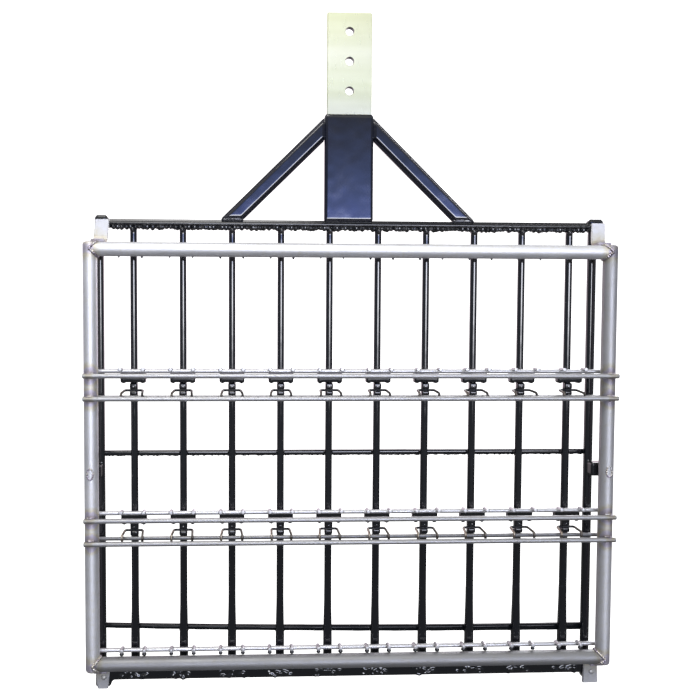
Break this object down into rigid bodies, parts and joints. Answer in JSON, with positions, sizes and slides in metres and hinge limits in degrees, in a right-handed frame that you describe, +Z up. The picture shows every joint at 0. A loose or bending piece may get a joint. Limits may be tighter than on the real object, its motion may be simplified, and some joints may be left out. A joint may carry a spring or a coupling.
{
  "type": "electroplating rack",
  "caption": "Hanging plating rack: strap hanger with braces, coated bar frame, bolted bright rod frame and sprung wire contacts.",
  "frame": {"origin": "on the back face of the hanger strap, midway between its two upper bolt holes", "axes": "+X to the right seen from the front, -Y out of the front, +Z up"},
  "size_m": [0.6015, 0.0462, 0.776],
  "materials": {
    "tinned_strap": "bare tinned metal, drawn, softly banded",
    "sleeve_coating": "glossy navy dip coating",
    "plastisol_coating": "glossy blue-black dip coating over steel",
    "bright_steel": "satin stainless, heat-tinted at the welds",
    "contact_wire": "dark bronze spring wire, partly coated"
  },
  "bodies": {
    "rack": {"hanger_strap": "tinned_strap", "spine_sleeve": "sleeve_coating", "gusset_left": "plastisol_coating", "gusset_right": "plastisol_coating", "top_rail": "plastisol_coating", "mid_rail": "plastisol_coating", "lower_rail": "plastisol_coating", "bottom_rail": "plastisol_coating", "side_bar_left": "plastisol_coating", "side_bar_right": "plastisol_coating", "bar_01": "plastisol_coating", "bar_02": "plastisol_coating", "bar_03": "plastisol_coating", "bar_04": "plastisol_coating", "bar_05": "plastisol_coating", "bar_06": "plastisol_coating", "bar_07": "plastisol_coating", "bar_08": "plastisol_coating", "bar_09": "plastisol_coating", "bar_10": "plastisol_coating", "side_tube_left": "bright_steel", "side_tube_right": "bright_steel", "top_tube": "bright_steel", "bottom_tube": "bright_steel", "retainer_rod_a": "bright_steel", "retainer_rod_b": "bright_steel", "retainer_rod_c": "bright_steel", "retainer_rod_d": "bright_steel", "upper_guide": "bright_steel", "lower_guide": "bright_steel", "bottom_guide": "bright_steel", "upper_stop_rod": "bright_steel", "lower_stop_rod": "bright_steel", "tab_top_left": "bright_steel", "tab_top_right": "bright_steel", "tab_bottom_left": "bright_steel", "tab_bottom_right": "bright_steel"},
    "contact_upper_01": {"contact_upper_01": "contact_wire"},
    "contact_upper_02": {"contact_upper_02": "contact_wire"},
    "contact_upper_03": {"contact_upper_03": "contact_wire"},
    "contact_upper_04": {"contact_upper_04": "contact_wire"},
    "contact_upper_05": {"contact_upper_05": "contact_wire"},
    "contact_upper_06": {"contact_upper_06": "contact_wire"},
    "contact_upper_07": {"contact_upper_07": "contact_wire"},
    "contact_upper_08": {"contact_upper_08": "contact_wire"},
    "contact_upper_09": {"contact_upper_09": "contact_wire"},
    "contact_upper_10": {"contact_upper_10": "contact_wire"},
    "contact_lower_01": {"contact_lower_01": "contact_wire"},
    "contact_lower_02": {"contact_lower_02": "contact_wire"},
    "contact_lower_03": {"contact_lower_03": "contact_wire"},
    "contact_lower_04": {"contact_lower_04": "contact_wire"},
    "contact_lower_05": {"contact_lower_05": "contact_wire"},
    "contact_lower_06": {"contact_lower_06": "contact_wire"},
    "contact_lower_07": {"contact_lower_07": "contact_wire"},
    "contact_lower_08": {"contact_lower_08": "contact_wire"},
    "contact_lower_09": {"contact_lower_09": "contact_wire"},
    "contact_lower_10": {"contact_lower_10": "contact_wire"}
  },
  "joints": [
    {"name": "flex_upper_01", "type": "hinge", "parent": "rack", "child": "contact_upper_01", "pos_m": [-0.2454, -0.00775, -0.391], "axis": [1, 0, 0], "range_deg": [0, 12], "stiffness_Nm_per_rad": 0.3},
    {"name": "flex_upper_02", "type": "hinge", "parent": "rack", "child": "contact_upper_02", "pos_m": [-0.1894, -0.00775, -0.391], "axis": [1, 0, 0], "range_deg": [0, 12], "stiffness_Nm_per_rad": 0.3},
    {"name": "flex_upper_03", "type": "hinge", "parent": "rack", "child": "contact_upper_03", "pos_m": [-0.1334, -0.00775, -0.391], "axis": [1, 0, 0], "range_deg": [0, 12], "stiffness_Nm_per_rad": 0.3},
    {"name": "flex_upper_04", "type": "hinge", "parent": "rack", "child": "contact_upper_04", "pos_m": [-0.0774, -0.00775, -0.391], "axis": [1, 0, 0], "range_deg": [0, 12], "stiffness_Nm_per_rad": 0.3},
    {"name": "flex_upper_05", "type": "hinge", "parent": "rack", "child": "contact_upper_05", "pos_m": [-0.0214, -0.00775, -0.391], "axis": [1, 0, 0], "range_deg": [0, 12], "stiffness_Nm_per_rad": 0.3},
    {"name": "flex_upper_06", "type": "hinge", "parent": "rack", "child": "contact_upper_06", "pos_m": [0.0346, -0.00775, -0.391], "axis": [1, 0, 0], "range_deg": [0, 12], "stiffness_Nm_per_rad": 0.3},
    {"name": "flex_upper_07", "type": "hinge", "parent": "rack", "child": "contact_upper_07", "pos_m": [0.0906, -0.00775, -0.391], "axis": [1, 0, 0], "range_deg": [0, 12], "stiffness_Nm_per_rad": 0.3},
    {"name": "flex_upper_08", "type": "hinge", "parent": "rack", "child": "contact_upper_08", "pos_m": [0.1466, -0.00775, -0.391], "axis": [1, 0, 0], "range_deg": [0, 12], "stiffness_Nm_per_rad": 0.3},
    {"name": "flex_upper_09", "type": "hinge", "parent": "rack", "child": "contact_upper_09", "pos_m": [0.2026, -0.00775, -0.391], "axis": [1, 0, 0], "range_deg": [0, 12], "stiffness_Nm_per_rad": 0.3},
    {"name": "flex_upper_10", "type": "hinge", "parent": "rack", "child": "contact_upper_10", "pos_m": [0.2586, -0.00775, -0.391], "axis": [1, 0, 0], "range_deg": [0, 12], "stiffness_Nm_per_rad": 0.3},
    {"name": "flex_lower_01", "type": "hinge", "parent": "rack", "child": "contact_lower_01", "pos_m": [-0.2454, -0.00775, -0.552], "axis": [1, 0, 0], "range_deg": [0, 12], "stiffness_Nm_per_rad": 0.3},
    {"name": "flex_lower_02", "type": "hinge", "parent": "rack", "child": "contact_lower_02", "pos_m": [-0.1894, -0.00775, -0.552], "axis": [1, 0, 0], "range_deg": [0, 12], "stiffness_Nm_per_rad": 0.3},
    {"name": "flex_lower_03", "type": "hinge", "parent": "rack", "child": "contact_lower_03", "pos_m": [-0.1334, -0.00775, -0.552], "axis": [1, 0, 0], "range_deg": [0, 12], "stiffness_Nm_per_rad": 0.3},
    {"name": "flex_lower_04", "type": "hinge", "parent": "rack", "child": "contact_lower_04", "pos_m": [-0.0774, -0.00775, -0.552], "axis": [1, 0, 0], "range_deg": [0, 12], "stiffness_Nm_per_rad": 0.3},
    {"name": "flex_lower_05", "type": "hinge", "parent": "rack", "child": "contact_lower_05", "pos_m": [-0.0214, -0.00775, -0.552], "axis": [1, 0, 0], "range_deg": [0, 12], "stiffness_Nm_per_rad": 0.3},
    {"name": "flex_lower_06", "type": "hinge", "parent": "rack", "child": "contact_lower_06", "pos_m": [0.0346, -0.00775, -0.552], "axis": [1, 0, 0], "range_deg": [0, 12], "stiffness_Nm_per_rad": 0.3},
    {"name": "flex_lower_07", "type": "hinge", "parent": "rack", "child": "contact_lower_07", "pos_m": [0.0906, -0.00775, -0.552], "axis": [1, 0, 0], "range_deg": [0, 12], "stiffness_Nm_per_rad": 0.3},
    {"name": "flex_lower_08", "type": "hinge", "parent": "rack", "child": "contact_lower_08", "pos_m": [0.1466, -0.00775, -0.552], "axis": [1, 0, 0], "range_deg": [0, 12], "stiffness_Nm_per_rad": 0.3},
    {"name": "flex_lower_09", "type": "hinge", "parent": "rack", "child": "contact_lower_09", "pos_m": [0.2026, -0.00775, -0.552], "axis": [1, 0, 0], "range_deg": [0, 12], "stiffness_Nm_per_rad": 0.3},
    {"name": "flex_lower_10", "type": "hinge", "parent": "rack", "child": "contact_lower_10", "pos_m": [0.2586, -0.00775, -0.552], "axis": [1, 0, 0], "range_deg": [0, 12], "stiffness_Nm_per_rad": 0.3}
  ]
}
